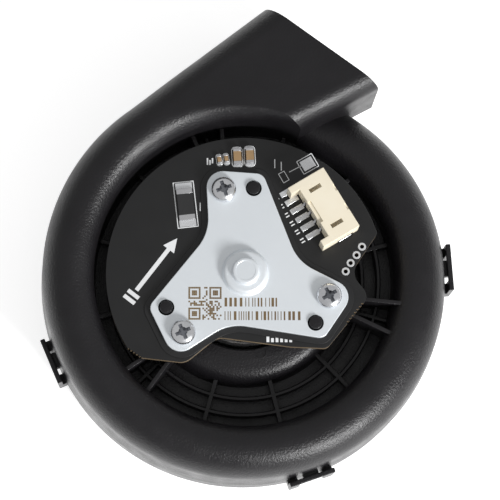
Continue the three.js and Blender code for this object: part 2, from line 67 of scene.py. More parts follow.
# ---- Driving dimensions, from the frame where it has them ----
WALL = 1.7
OUTER_R = 41
THROAT_R = 30
BASE_Z = 2
PART_Z = level("upper_housing", 0)
PART_LOW = PART_Z - 0.1
FLOOR_Z = PART_Z + 1.5
CREST_START = 22
CREST_END = 33.5
TONGUE_DEG = 69
DUCT_DEG = -235
CHAMBER_START_DEG = 50
TONGUE_POINT = (30.8, 69)
OUTLET_OUTER = (3.2, 54.1)
OUTLET_INNER = (26.7, 37)
LEAN = 0.07
BELLY = 3.2
LEAST_BELLY = 0.05
INLET_R = 12.5
INLET_RING_R = 17
INLET_RING_EDGE = 0.4

SCREW_R = 17.2
SCREW_DEG = -15.7
POST_R = 17.1
POST_DEG = -35.8
LOBE_DEG = 120
LOBES = 3

PCB_Z = level("driver_pcb", 0)
PCB_TOP = level("driver_pcb", 1)
FILM_Z = level("insulator_film", 0)
FILM_TOP = level("insulator_film", 1)
PLATE_Z = level("motor_plate", 0)
PLATE_TOP = PLATE_Z + 1

REACH = 80
SMOOTH_DEG = 32


# ---- Mesh helpers ----

def polar(r, deg):
    a = math.radians(deg)
    return (r * math.cos(a), r * math.sin(a))


def lobe_angles(deg):
    return [deg - LOBE_DEG * i for i in range(LOBES)]


def new_object(name, mesh):
    obj = bpy.data.objects.new(name, mesh)
    bpy.context.scene.collection.objects.link(obj)
    return obj


def from_faces(name, verts, faces):
    mesh = bpy.data.meshes.new(name)
    mesh.from_pydata(verts, [], faces)
    bm = bmesh.new()
    bm.from_mesh(mesh)
    bmesh.ops.remove_doubles(bm, verts=bm.verts, dist=1e-5)
    bmesh.ops.dissolve_degenerate(bm, edges=bm.edges, dist=1e-5)
    bmesh.ops.recalc_face_normals(bm, faces=bm.faces)
    bm.to_mesh(mesh)
    bm.free()
    return new_object(name, mesh)


def turned(profile, steps=96):
    """A body of revolution about Z: the profile's (radius, z) points, closed by the function."""
    verts = []
    for i in range(steps):
        a = 2 * math.pi * i / steps
        verts += [(r * math.cos(a), r * math.sin(a), z) for r, z in profile]
    n = len(profile)
    faces = []
    for i in range(steps):
        for j in range(n):
            a, b = i * n + j, i * n + (j + 1) % n
            c, d = (b + n) % (steps * n), (a + n) % (steps * n)
            faces.append((a, b, c, d))
    return from_faces("turned", verts, faces)


def ring(r_in, r_out, z0, z1, bevel, steps):
    b = min(bevel, (r_out - r_in) / 3, (z1 - z0) / 3)
    return turned([(r_in + b, z0), (r_out - b, z0), (r_out, z0 + b), (r_out, z1 - b),
                   (r_out - b, z1), (r_in + b, z1), (r_in, z1 - b), (r_in, z0 + b)], steps)


def disc(r, z0, z1, at=(0, 0), bevel=0.0, steps=48):
    profile = [(0, z0), (r, z0), (r, z1 - bevel)]
    if bevel:
        profile += [(r - bevel * 0.3, z1 - bevel * 0.3), (r - bevel, z1)]
    obj = turned(profile + [(0, z1)], steps)
    return moved(obj, at)


def moved(obj, at=(0, 0), deg=0, z=0):
    turn = Matrix.Rotation(math.radians(deg), 4, "Z")
    obj.data.transform(Matrix.Translation((at[0], at[1], z)) @ turn)
    return obj


def prism(outline, z0, z1, bevel=0.0, segments=2):
    """An upright prism on a counter-clockwise outline, its top and bottom rims bevelled."""
    n = len(outline)
    verts = [(x, y, z) for z in (z0, z1) for x, y in outline]
    faces = [tuple(range(n))[::-1], tuple(range(n, 2 * n))]
    faces += [(i, (i + 1) % n, n + (i + 1) % n, n + i) for i in range(n)]
    obj = from_faces("prism", verts, faces)
    if bevel:
        bevel_edges(obj, bevel, segments, lambda e: abs(e.verts[0].co.z - e.verts[1].co.z) < 1e-6)
    return obj


def bevel_edges(obj, width, segments=2, chosen=lambda e: True):
    bm = bmesh.new()
    bm.from_mesh(obj.data)
    edges = [e for e in bm.edges if chosen(e) and e.calc_face_angle(0) > math.radians(20)]
    bmesh.ops.bevel(bm, geom=edges, offset=width, segments=segments, profile=0.5,
                    affect="EDGES", clamp_overlap=True)
    bm.to_mesh(obj.data)
    bm.free()
    return obj


def block(low, high, bevel=0.0, deg=0, at=(0, 0), segments=2):
    (x0, y0, z0), (x1, y1, z1) = low, high
    obj = prism([(x0, y0), (x1, y0), (x1, y1), (x0, y1)], z0, z1)
    if bevel:
        bevel_edges(obj, bevel, segments)
    return moved(obj, at, deg)


def loft(sections):
    """A solid through a row of closed sections of equal length."""
    n = len(sections[0])
    verts = [p for s in sections for p in s]
    faces = [tuple(range(n))]
    for i in range(len(sections) - 1):
        for j in range(n):
            a, b = i * n + j, i * n + (j + 1) % n
            faces.append((a, b, b + n, a + n))
    faces.append(tuple(range((len(sections) - 1) * n, len(sections) * n)))
    return from_faces("loft", verts, faces)


def combine(target, tools, operation):
    for tool in tools:
        modifier = target.modifiers.new("boolean", "BOOLEAN")
        modifier.operation = operation
        modifier.object = tool
        modifier.solver = "MANIFOLD"
    depsgraph = bpy.context.evaluated_depsgraph_get()
    depsgraph.update()
    mesh = bpy.data.meshes.new_from_object(target.evaluated_get(depsgraph))
    target.modifiers.clear()
    target.data = mesh
    for tool in tools:
        bpy.data.objects.remove(tool)
    return target


def join(*objs):
    return combine(objs[0], objs[1:], "UNION")


def cut(target, *tools):
    return combine(target, tools, "DIFFERENCE")


def keep(target, tool):
    return combine(target, [tool], "INTERSECT")


def copy_of(obj):
    return new_object(obj.name, obj.data.copy())


def merged(objs):
    """Several separate solids as one object."""
    bm = bmesh.new()
    for obj in objs:
        bm.from_mesh(obj.data)
        bpy.data.objects.remove(obj)
    mesh = bpy.data.meshes.new("merged")
    bm.to_mesh(mesh)
    bm.free()
    return new_object("merged", mesh)


def smooth(obj):
    """Smooth shading with sharp edges kept, and normals weighted by face area."""
    mesh = obj.data
    mesh.polygons.foreach_set("use_smooth", [True] * len(mesh.polygons))
    mesh.set_sharp_from_angle(angle=math.radians(SMOOTH_DEG))
    modifier = obj.modifiers.new("normals", "WEIGHTED_NORMAL")
    modifier.keep_sharp = True
    modifier.weight = 80
    return obj


def place(obj, name, material, nodes=()):
    """Puts a finished piece into the frame, in metres, on the blower's body."""
    obj.data.transform(Matrix.Translation(AXIS) @ Matrix.Scale(MM, 4))
    obj.name = name
    obj.data.name = name
    if material:
        obj.data.materials.clear()
        obj.data.materials.append(material)
    smooth(obj)
    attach(obj, BODY)
    if nodes:
        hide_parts(*nodes)
    return obj


# ---- Outlines ----

def filleted(corners, steps):
    """A closed outline of corners (x, y, fillet radius), its round corners as arcs."""
    points = []
    for i, (x, y, r) in enumerate(corners):
        if not r:
            points.append((x, y))
            continue
        here = Vector((x, y))
        back = (Vector(corners[i - 1][:2]) - here).normalized()
        on = (Vector(corners[(i + 1) % len(corners)][:2]) - here).normalized()
        half = math.acos(max(-1, min(1, back.dot(on)))) / 2
        middle = here + (back + on).normalized() * r / math.sin(half)
        start = here + back * r / math.tan(half) - middle
        turn = (math.pi - 2 * half) * (-1 if back.cross(on) > 0 else 1)
        for k in range(steps + 1):
            p = Matrix.Rotation(turn * k / steps, 2) @ start + middle
            points.append((p.x, p.y))
    return points


def widened(corners, by):
    """The same corners with each side moved outward, the outline running counter-clockwise."""
    def normal(a, b):
        return Vector((b[1] - a[1], a[0] - b[0])).normalized()

    result = []
    for i, (x, y, r) in enumerate(corners):
        n1 = normal(corners[i - 1], (x, y))
        n2 = normal((x, y), corners[(i + 1) % len(corners)])
        k = by / (1 + n1.dot(n2))
        grow = by if n1.cross(n2) > 0 else -by
        result.append((x + (n1.x + n2.x) * k, y + (n1.y + n2.y) * k, max(0.2, r + grow)))
    return result


PLATE_LOBE = [(15.5, -13.1, 2), (21.9, -3.6, 3.3), (10.4, 2.3, 9)]
PLATE_FILLET_STEPS = 12
SMALL_FILLET_STEPS = 5
FILM_MARGIN = 1.2


def plate_corners():
    corners = []
    for lobe in range(LOBES):
        turn = Matrix.Rotation(math.radians(LOBE_DEG * lobe), 2)
        for x, y, r in PLATE_LOBE:
            p = turn @ Vector((x, y))
            corners.append((p.x, p.y, r))
    return corners


PCB_R = 27.6
PCB_ARC_DEG = (20, 213)
PCB_LOWER_SIDE = [(-20.5, -16.8, 0), (-11.8, -17.8, 3), (-5.5, -12.7, 3), (9.1, -14.6, 8),
                  (16.2, -14.9, 1.6), (24.7, -4.4, 2.2), (21, 0.1, 3), (26.4, 8.2, 1)]


def board_outline(steps=120):
    start, end = PCB_ARC_DEG
    arc = [(*polar(PCB_R, start + (end - start) * i / steps), 0) for i in range(steps + 1)]
    return filleted(arc + PCB_LOWER_SIDE, SMALL_FILLET_STEPS)


# ---- Materials ----

def new_material(name, color, roughness, metallic=0.0, **sockets):
    material = bpy.data.materials.new(name)
    material.use_nodes = True
    shader = material.node_tree.nodes["Principled BSDF"]
    shader.inputs["Base Color"].default_value = (*color, 1)
    shader.inputs["Roughness"].default_value = roughness
    shader.inputs["Metallic"].default_value = metallic
    for socket, value in sockets.items():
        shader.inputs[socket.replace("_", " ")].default_value = value
    return material


class Nodes:
    """Adds texture nodes to a material, in object coordinates."""

    def __init__(self, material):
        self.tree = material.node_tree
        self.shader = self.tree.nodes["Principled BSDF"]
        self.coords = self.tree.nodes.new("ShaderNodeTexCoord").outputs["Object"]

    def link(self, a, b):
        self.tree.links.new(a, b)

    def noise(self, scale, detail=4.0, rough=0.55, stretch=(1, 1, 1)):
        mapping = self.tree.nodes.new("ShaderNodeMapping")
        mapping.inputs["Scale"].default_value = stretch
        self.link(self.coords, mapping.inputs["Vector"])
        node = self.tree.nodes.new("ShaderNodeTexNoise")
        node.inputs["Scale"].default_value = scale
        node.inputs["Detail"].default_value = detail
        node.inputs["Roughness"].default_value = rough
        self.link(mapping.outputs["Vector"], node.inputs["Vector"])
        return node.outputs["Fac"]

    def ramp(self, value, *stops):
        node = self.tree.nodes.new("ShaderNodeValToRGB")
        elements = node.color_ramp.elements
        while len(elements) < len(stops):
            elements.new(0.5)
        for element, (at, color) in zip(elements, stops):
            element.position = at
            element.color = (*color, 1) if hasattr(color, "__len__") else (color, color, color, 1)
        self.link(value, node.inputs["Fac"])
        return node.outputs["Color"]

    def color(self, output):
        self.link(output, self.shader.inputs["Base Color"])

    def roughness(self, output):
        self.link(output, self.shader.inputs["Roughness"])

    def bump(self, height, strength, distance):
        node = self.tree.nodes.new("ShaderNodeBump")
        node.inputs["Strength"].default_value = strength
        node.inputs["Distance"].default_value = distance
        self.link(height, node.inputs["Height"])
        if self.shader.inputs["Normal"].is_linked:
            self.link(self.shader.inputs["Normal"].links[0].from_socket, node.inputs["Normal"])
        self.link(node.outputs["Normal"], self.shader.inputs["Normal"])


def moulded_plastic(name, low, high, roughness, grain=900.0, strength=0.25, specular=0.5):
    """Moulded plastic: fine grain, faint flow marks in colour and gloss."""
    material = new_material(name, low, roughness, Specular_IOR_Level=specular)
    nodes = Nodes(material)
    nodes.color(nodes.ramp(nodes.noise(60.0), (0.35, low), (0.7, high)))
    nodes.roughness(nodes.ramp(nodes.noise(240.0), (0.3, roughness - 0.05), (0.7, roughness + 0.07)))
    nodes.bump(nodes.noise(grain, 3.0, 0.6), strength, 0.0001)
    return material


def metal(name, color, dark, roughness, grain=700.0, stretch=(1, 1, 1), strength=0.12, metallic=1.0):
    """Metal with fine grain and a slow drift of tone."""
    material = new_material(name, color, roughness, metallic)
    nodes = Nodes(material)
    nodes.color(nodes.ramp(nodes.noise(90.0, 3.0), (0.3, dark), (0.7, color)))
    spread = nodes.noise(grain, 5.0, 0.6, stretch)
    nodes.roughness(nodes.ramp(spread, (0.3, roughness - 0.07), (0.75, roughness + 0.1)))
    nodes.bump(spread, strength, 0.00005)
    return material


HOUSING = moulded_plastic("housing_black", (0.0078, 0.0072, 0.0084), (0.0104, 0.0097, 0.0112), 0.34,
                          2300.0, 1.0, specular=0.36)
IMPELLER = moulded_plastic("impeller_black", (0.008, 0.008, 0.009), (0.012, 0.012, 0.013), 0.5)
BOARD = moulded_plastic("board_mask", (0.0055, 0.0056, 0.006), (0.007, 0.0071, 0.0075), 0.42, 400.0, 0.08)
BOARD_EDGE = moulded_plastic("board_edge", (0.12, 0.085, 0.05), (0.2, 0.15, 0.09), 0.7, 1500.0, 0.5)
FILM = moulded_plastic("film_black", (0.006, 0.006, 0.0065), (0.009, 0.009, 0.0095), 0.5, 500.0, 0.1)
EPOXY = moulded_plastic("epoxy_black", (0.014, 0.014, 0.015), (0.022, 0.022, 0.023), 0.5, 1800.0, 0.3)
IVORY = moulded_plastic("connector_ivory", (0.80, 0.72, 0.56), (0.86, 0.80, 0.66), 0.45, 700.0, 0.1)
NYLON = moulded_plastic("insulator_nylon", (0.6, 0.56, 0.46), (0.68, 0.64, 0.54), 0.5)
CERAMIC = moulded_plastic("capacitor_ceramic", (0.30, 0.19, 0.09), (0.42, 0.28, 0.15), 0.45, 2500.0, 0.3)
INK = moulded_plastic("white_ink", (0.72, 0.73, 0.74), (0.82, 0.83, 0.84), 0.6, 2500.0, 0.2)
BROWN_INK = moulded_plastic("brown_ink", (0.13, 0.08, 0.04), (0.19, 0.13, 0.05), 0.6, 2500.0, 0.2)
MAGNET = moulded_plastic("magnet_ferrite", (0.03, 0.03, 0.032), (0.05, 0.05, 0.052), 0.65, 1500.0, 0.5)
ZINC = metal("plate_zinc", (0.80, 0.84, 0.875), (0.775, 0.815, 0.85), 0.36, 1500.0,
             metallic=0.45, strength=0.05)
SCREW = metal("screw_zinc", (0.82, 0.83, 0.85), (0.66, 0.67, 0.7), 0.24, 900.0)
# Darker copy of the screw metal: painted shade for the screws' cross recesses.
RECESS_PAINTED_SHADE = metal("screw_recess_painted_shade", (0.3, 0.31, 0.34), (0.2, 0.21, 0.23), 0.3, 900.0)
STEEL = metal("ground_steel", (0.6, 0.61, 0.63), (0.5, 0.51, 0.53), 0.25, 600.0, (1, 1, 0.1))
ROTOR_STEEL = metal("rotor_nickel", (0.42, 0.42, 0.42), (0.34, 0.34, 0.35), 0.3)
LAMINATION = metal("core_lamination", (0.2, 0.2, 0.21), (0.1, 0.1, 0.11), 0.5, 2500.0, (0.1, 0.1, 3))
TIN = metal("tinned_contact", (0.75, 0.75, 0.76), (0.6, 0.6, 0.62), 0.3, 1200.0)
SOLDER = metal("solder", (0.86, 0.87, 0.88), (0.7, 0.71, 0.73), 0.26, 1500.0, metallic=0.7, strength=0.5)
BRASS = metal("turned_brass", (0.72, 0.55, 0.26), (0.6, 0.45, 0.2), 0.28, 600.0, (1, 1, 0.1))
COPPER = metal("enamelled_copper", (0.6, 0.25, 0.1), (0.42, 0.15, 0.06), 0.3, 2600.0, (0.1, 0.1, 3), 0.6)


# ---- Volute ----

def mix(a, b, t):
    return a + (b - a) * t


def crest_at(deg):
    return mix(CREST_START, CREST_END, (TONGUE_DEG - deg) / (TONGUE_DEG - DUCT_DEG))


def bend(corner, radius, start, end, steps):
    """Points on an arc round a corner, from one angle to another, in degrees."""
    points = []
    for i in range(steps + 1):
        a = math.radians(mix(start, end, i / steps))
        points.append((corner[0] + radius * math.cos(a), corner[1] + radius * math.sin(a)))
    return points


SECTION_BENDS = (4.5, 6.5, 5)


def volute_section(width, top, inset, belly):
    """Across the volute wall: s runs from the inner to the outer wall, z is the height."""
    base = BASE_Z + inset
    far = width - inset
    high = top - inset
    inner, outer, foot = (r - inset for r in SECTION_BENDS)
    lean = LEAN * max(0, high - outer - PART_Z)
    crown = [(s - lean * (s - far + outer) / outer, z)
             for s, z in bend((far - outer, high - outer), outer, 0, 90, 14)]
    return ([(inset, PART_LOW), (inset + belly, base)]
            + bend((far - foot, base + foot), foot, -90, 0, 6)
            + [(far, PART_Z)]
            + crown
            + bend((inset + inner, high - inner), inner, 90, 180, 12))


def station(inner, outer, top, inset, belly=LEAST_BELLY):
    """A section put between an inner and an outer wall point."""
    a, b = Vector(inner), Vector(outer)
    width = (b - a).length
    points = []
    for s, z in volute_section(width, top, inset, belly):
        p = a + (b - a) * s / width
        points.append((p.x, p.y, z))
    return points


def round_volute(inset, start_deg, past=1.0, stations=200):
    end_deg = DUCT_DEG - past
    sections = []
    for i in range(stations + 1):
        deg = mix(start_deg, end_deg, i / stations)
        sections.append(station(polar(THROAT_R, deg), polar(OUTER_R, deg), crest_at(deg), inset))
    return loft(sections)


def duct_walls(t):
    """Inner and outer wall points at t along the duct: 0 at the volute, 1 at the outlet."""
    start = Vector(polar(OUTER_R, DUCT_DEG))
    outer = start + (Vector(OUTLET_OUTER) - start) * t
    leave = 0.5
    along = min(1, t / leave)
    tongue_r, tongue_deg = TONGUE_POINT
    tongue = Vector(polar(mix(THROAT_R, tongue_r, along), mix(DUCT_DEG + 360, tongue_deg, along)))
    if t <= leave:
        return tongue, outer
    return tongue + (Vector(OUTLET_INNER) - tongue) * (t - leave) / (1 - leave), outer


def duct(inset, past, stations=60):
    sections = []
    for i in range(stations + 1):
        t = i / stations * (1 + past)
        inner, outer = duct_walls(t)
        belly = LEAST_BELLY + BELLY * min(1, 2 * t)
        sections.append(station(inner, outer, CREST_END, inset, belly))
    return loft(sections)


def volute_outer():
    """The whole housing's outer shape, without its hollow."""
    core = disc(THROAT_R + 1, BASE_Z, FLOOR_Z, steps=200)
    ring_top = BASE_Z + 1
    ring_profile = [(0, 0), (INLET_RING_R - INLET_RING_EDGE, 0), (INLET_RING_R, INLET_RING_EDGE),
                    (INLET_RING_R, ring_top), (0, ring_top)]
    return join(round_volute(0, TONGUE_DEG), duct(0, 0), core, turned(ring_profile, 128))


def volute_chamber():
    """The hollow inside the housing, with the inlet eye and the outlet's mouth."""
    room = disc(THROAT_R + WALL + 0.2, BASE_Z + WALL, PART_Z, steps=200)
    eye = turned([(0, -1), (INLET_R + 1.2, -1), (INLET_R + 1.2, 0), (INLET_R + 0.6, 0.25),
                  (INLET_R + 0.15, 0.8), (INLET_R, 1.6), (INLET_R, 5), (0, 5)], 128)
    return join(round_volute(WALL, CHAMBER_START_DEG), duct(WALL, 0.06), room, eye)


RING_RIBS = (24, 27.3)
RIB_T = 0.9
RIB_TOP = 18
POD_TOP = 20.8
POD_R = 16.2
POD_FOOT_R = 21
CUP_R = 14.4
BOSS_R = 3.3
BOSS_TOP = PCB_Z - 0.05
SEAT_R = 2.4
SEAT_PIN_R = 1.3
BOSS_BORE_R = 1.25
SHAFT_HOLE_R = 4.5
ARM_TOP = 24
ARM_T = 0.9
ARM_NEAR = (18, 1.35)
ARM_FAR = (33, 3.95)
RIB_BEVEL = 0.22
SUNK = FLOOR_Z - 0.5


def floor_ribs():
    rings = [ring(r - RIB_T / 2, r + RIB_T / 2, SUNK, RIB_TOP, RIB_BEVEL, 160) for r in RING_RIBS]
    spokes = [block((POD_FOOT_R - 1, -RIB_T / 2, SUNK), (THROAT_R + 1, RIB_T / 2, RIB_TOP),
                    RIB_BEVEL, SCREW_DEG + 30 * i) for i in range(12)]
    return rings + spokes


def motor_pod():
    return turned([(CUP_R, SUNK), (POD_FOOT_R + 0.6, SUNK), (POD_FOOT_R + 0.1, RIB_TOP - 0.3),
                   (POD_FOOT_R - 0.2, RIB_TOP + 0.4), (POD_FOOT_R - 0.8, 19.5), (POD_FOOT_R - 1.8, 20.2),
                   (POD_FOOT_R - 3, 20.5), (POD_R + 0.5, POD_TOP - 0.12),
                   (POD_R, POD_TOP), (CUP_R + 0.3, POD_TOP), (CUP_R, POD_TOP - 0.3)], 160)


def arm(deg):
    """A pair of thin walls that spread from a screw boss to the recess wall."""
    (x0, y0), (x1, y1) = ARM_NEAR, ARM_FAR
    walls = []
    for side in (1, -1):
        outline = [(x0, side * y0), (x1, side * y1), (x1, side * (y1 - ARM_T)), (x0, side * (y0 - ARM_T))]
        if side > 0:
            outline.reverse()
        walls.append(moved(prism(outline, SUNK, ARM_TOP, RIB_BEVEL), deg=deg))
    return walls


def plate_seats():
    """Screw bosses with their arms, and posts whose pins come up through the plate."""
    parts = []
    for deg in lobe_angles(SCREW_DEG):
        parts.append(disc(BOSS_R, SUNK, BOSS_TOP, polar(SCREW_R, deg), 0.2))
        parts += arm(deg)
    for deg in lobe_angles(POST_DEG):
        parts.append(disc(SEAT_R, SUNK, BOSS_TOP, polar(POST_R, deg), 0.2))
        parts.append(disc(SEAT_PIN_R, BOSS_TOP - 1, PLATE_TOP + 0.7, polar(POST_R, deg), 0.3))
    return parts


CLIP_DEGS = (4, -71, -157)
CLIP_LENGTH = 9.5
CLIP_OUT = 1.5
CLIP_BAR = 1.0
CLIP_LEG = 2.2
CLIP_FOOT = 9
CLIP_TOP = 18
CLIP_ROOT = OUTER_R - 0.8
CLIP_BEVEL = 0.2
CATCH_HALF = 1.6


def snap_loop(deg):
    """Two legs on the lower housing's rim, joined by a bar."""
    half = CLIP_LENGTH / 2
    face = OUTER_R + CLIP_OUT
    back = face - CLIP_BAR
    parts = []
    for side in (1, -1):
        y0 = min(side * half, side * (half - CLIP_LEG))
        y1 = y0 + CLIP_LEG
        parts.append(block((CLIP_ROOT, y0, CLIP_FOOT), (face, y1, PART_Z - 1), CLIP_BEVEL, deg))
        parts.append(block((back, y0, CLIP_FOOT), (face, y1, CLIP_TOP), CLIP_BEVEL, deg))
    parts.append(block((back, -half, CLIP_TOP - CLIP_BAR), (face, half, CLIP_TOP), CLIP_BEVEL, deg))
    return parts


def snap_catch(deg):
    """The nose on the upper housing that a loop snaps over."""
    return block((CLIP_ROOT, -CATCH_HALF, PART_Z + 0.2),
                 (OUTER_R + CLIP_OUT - 0.2, CATCH_HALF, CLIP_TOP - CLIP_BAR - 0.25), 0.15, deg)


EJECTOR_R = 1.15
EJECTOR_DEPTH = 0.12
EJECTOR_ROW_R = 15.3


def ejector_marks():
    """Shallow round marks left by ejector pins on the pod's rim."""
    return [disc(EJECTOR_R, POD_TOP - EJECTOR_DEPTH, POD_TOP + 1, polar(EJECTOR_ROW_R, deg), steps=32)
            for deg in (-78, 42, 162)]


def upper_housing(outer, chamber):
    tall = CREST_END + 10
    above = block((-REACH, -REACH, PART_Z), (REACH, REACH, tall))
    catches = [snap_catch(deg) for deg in CLIP_DEGS]
    obj = join(outer, *floor_ribs(), motor_pod(), *plate_seats(), *catches)
    holes = [disc(BOSS_BORE_R, RIB_TOP, tall, polar(SCREW_R, deg), steps=32)
             for deg in lobe_angles(SCREW_DEG)]
    shaft_hole = disc(SHAFT_HOLE_R, PART_Z - 1, FLOOR_Z + 1)
    obj = keep(cut(obj, chamber, shaft_hole, *holes, *ejector_marks()), above)
    return place(obj, "volute_top", HOUSING, ["upper_housing"])


def lower_housing(outer, chamber):
    below = block((-REACH, -REACH, -5), (REACH, REACH, PART_LOW))
    obj = keep(cut(outer, chamber), below)
    for deg in CLIP_DEGS:
        obj = join(obj, *snap_loop(deg))
    return place(obj, "volute_base", HOUSING, ["lower_housing"])


# ---- Motor plate and film ----

def plate_holes(screw_r, post_r):
    low, high = PCB_Z - 1, PLATE_TOP + 1
    return ([disc(screw_r, low, high, polar(SCREW_R, deg)) for deg in lobe_angles(SCREW_DEG)]
            + [disc(post_r, low, high, polar(POST_R, deg)) for deg in lobe_angles(POST_DEG)])


def motor_plate():
    """The three-lobed sheet with its drawn, stepped bearing boss."""
    sheet = prism(filleted(plate_corners(), PLATE_FILLET_STEPS), PLATE_Z, PLATE_TOP, 0.14, 3)
    t = PLATE_TOP
    outside = ([(0, PLATE_Z + 0.1), (4.45, PLATE_Z + 0.1), (5.2, t - 0.02)]
               + bend((5.0, t + 0.42), 0.45, -85, -170, 4)[1:]
               + [(4.45, t + 0.6)]
               + bend((3.65, t + 0.7), 0.78, 5, 88, 6)
               + bend((2.9, t + 1.7), 0.22, -90, -170, 3)
               + [(2.65, t + 2.0)]
               + bend((2.25, t + 2.25), 0.4, 5, 85, 5)
               + [(1.98, t + 2.66), (1.9, t + 2.6), (0, t + 2.6)])
    boss = turned(outside, 96)
    bore = turned([(0, PLATE_Z - 1), (4.03, PLATE_Z - 1), (4.03, t + 0.65), (3.3, t + 0.65),
                   (3.3, t + 1.1), (2, t + 1.1), (2, t + 2.1), (0, t + 2.1)], 64)
    obj = cut(join(sheet, boss), bore, *plate_holes(1.45, 1.6))
    return place(obj, "plate_pressing", ZINC, ["motor_plate"])


def insulator_film():
    outline = filleted(widened(plate_corners(), FILM_MARGIN), PLATE_FILLET_STEPS)
    sheet = prism(outline, FILM_Z, FILM_TOP, 0.05, 1)
    obj = cut(sheet, disc(5.5, FILM_Z - 1, PLATE_Z), *plate_holes(1.5, 1.7))
    return place(obj, "insulating_film", FILM, ["insulator_film"])


SCREW_HEAD_GAP = 0.02
SCREW_SHANK_R = 1.12
SCREW_END_Z = 19
# How far from the screw's axis the painted recess shade reaches.
PAINTED_SHADE_REACH = 1.6


def plate_screw(index, deg):
    """A pan-head screw with a stepped cross recess, each turned to its own angle; painted shade darkens the
    recess faces.
    """
    z = PLATE_TOP + SCREW_HEAD_GAP
    head = turned([(0, z), (2.42, z), (2.5, z + 0.08), (2.5, z + 0.75), (2.42, z + 1.05),
                   (2.2, z + 1.35), (1.8, z + 1.6), (1.3, z + 1.75), (0.7, z + 1.82), (0, z + 1.83)], 64)
    shank = disc(SCREW_SHANK_R, SCREW_END_Z, z + 0.5, steps=32)
    arms = []
    for turn in (0, 90):
        arms.append(block((-1.55, -0.36, z + 1.05), (1.55, 0.36, z + 3), deg=turn))
        arms.append(block((-1.15, -0.3, z + 0.3), (1.15, 0.3, z + 1.3), deg=turn))
    cone = turned([(0, z + 0.2), (0.35, z + 0.4), (0.95, z + 2), (0, z + 2)], 24)
    obj = cut(join(head, shank), *arms, cone)
    moved(obj, polar(SCREW_R, deg), deg + 20 + 25 * index)
    place(obj, f"pan_screw_{index}", SCREW, [f"plate_screw_{index}"])
    # Faces in the cross recess take the darker metal: painted shade, not a different finish.
    obj.data.materials.append(RECESS_PAINTED_SHADE)
    centre = AXIS + Vector((*polar(SCREW_R, deg), 0)) * MM
    for face in obj.data.polygons:
        off_axis = (face.center - centre).xy.length
        high = face.center.z > (z + 0.25) * MM and off_axis < PAINTED_SHADE_REACH * MM
        inward = abs(face.normal.z) < 0.3 or face.center.z < (z + 1.1) * MM
        face.material_index = 1 if high and inward else 0
    return obj


# ---- Driver board ----

BITE_RUNS = [((23.5, -5.8), (20.1, -10)), ((-20.4, -17), (-23.2, -15)), ((11.4, 25.3), (15.6, 22.9))]
BITE_PITCH = 0.75
BITE_R = 0.25


def mouse_bites():
    """Rows of half holes where the board was broken out of its panel."""
    cutters = []
    for start, end in BITE_RUNS:
        a, b = Vector(start), Vector(end)
        count = max(3, round((b - a).length / BITE_PITCH))
        for i in range(count):
            p = a + (b - a) * (i + 0.5) / count
            cutters.append(disc(BITE_R, PCB_Z - 1, PCB_TOP + 1, (p.x, p.y), steps=16))
    return cutters


RING_PADS = [(23.3, 5.5), (22.2, 3.8), (21, 2.2), (20, 0.5)]
RING_PAD_BORE_R = 0.4
BOARD_BORE_R = 6.2


def driver_board():
    sheet = prism(board_outline(), PCB_Z, PCB_TOP, 0.05, 1)
    low, high = PCB_Z - 1, PCB_TOP + 1
    holes = [disc(RING_PAD_BORE_R, low, high, at, steps=24) for at in RING_PADS]
    obj = cut(sheet, disc(BOARD_BORE_R, low, high), *plate_holes(1.5, 1.45), *holes, *mouse_bites())
    place(obj, "board_panel", BOARD, ["driver_pcb"])
    obj.data.materials.append(BOARD_EDGE)
    for face in obj.data.polygons:
        face.material_index = 1 if abs(face.normal.z) < 0.5 else 0
    return obj


# ---- Connector ----

PIN_ROW_MIDDLE = (14.3, 11.9)
HEADER_DEG = 31
PIN_PITCH = 2
PIN_ROW = [(i - 1.5) * PIN_PITCH for i in range(4)]
HEADER_L = 13.8
HEADER_D = 6.4
HEADER_BACK = -1
EAR_T = 1.5
SLOT_HALF = 0.45
HEADER_Z = level("connector_housing", 0)
HEADER_TOP = level("connector_housing", 1)


def on_header(obj):
    return moved(obj, PIN_ROW_MIDDLE, HEADER_DEG)


def header_housing():
    """The header's shell: open at the front, with ears, two top windows and pin slots at the back."""
    back, half = HEADER_BACK, HEADER_L / 2
    front = back + HEADER_D
    z0, top = HEADER_Z, HEADER_TOP
    body = block((back, -half, z0), (front, half, top), 0.2)
    ears = [block((back - 1.9, y, z0), (back + 1, y + EAR_T, top), 0.2) for y in (-half, half - EAR_T)]
    tools = [block((back + 1.4, -half + 2, z0 + 0.8), (front + 1, half - 2, top - 0.8), 0.15)]
    for side in (1, -1):
        window = side * 4.1
        tools.append(block((back + 1.5, window - SLOT_HALF, top - 2),
                           (back + 4.1, window + SLOT_HALF, top + 1)))
        low = min(side * (half - EAR_T), side * (half + 1))
        tools.append(block((back + 1.6, low, z0 - 1), (front - 1.2, low + 2.5, z0 + 1.6)))
    for y in PIN_ROW:
        y0, y1 = y - SLOT_HALF, y + SLOT_HALF
        tools.append(block((back - 1, y0, z0 + 1.6), (back + 2, y1, z0 + 2.8)))
        tools.append(block((back - 1, y0, z0 - 1), (back + 0.45, y1, z0 + 2.8)))
    tools.append(block((back - 1, -2.4, top - 0.5), (back + 0.7, 2.4, top + 1)))
    for side in (1, -1):
        notch = side * 2.2
        tools.append(block((front - 0.35, notch - 0.7, top - 0.4), (front + 1, notch + 0.7, top + 1)))
    obj = join(body, *ears)
    for tool in tools:
        obj = cut(obj, tool)
    return place(on_header(obj), "header_shell", IVORY, ["connector_housing"])


SPARE_PADS = (5, 7)
PAD_SPAN = (-4.2, -1.3)
SIDE_PAD_SPAN = (0.9, 3.9)
SIDE_PAD_Y = 6.6


def solder_joint(span, y, width=1.15, height=0.24):
    x0, x1 = span
    joint = block((x0, y - width / 2, PCB_TOP), (x1, y + width / 2, PCB_TOP + height), 0.11, segments=3)
    return on_header(joint)


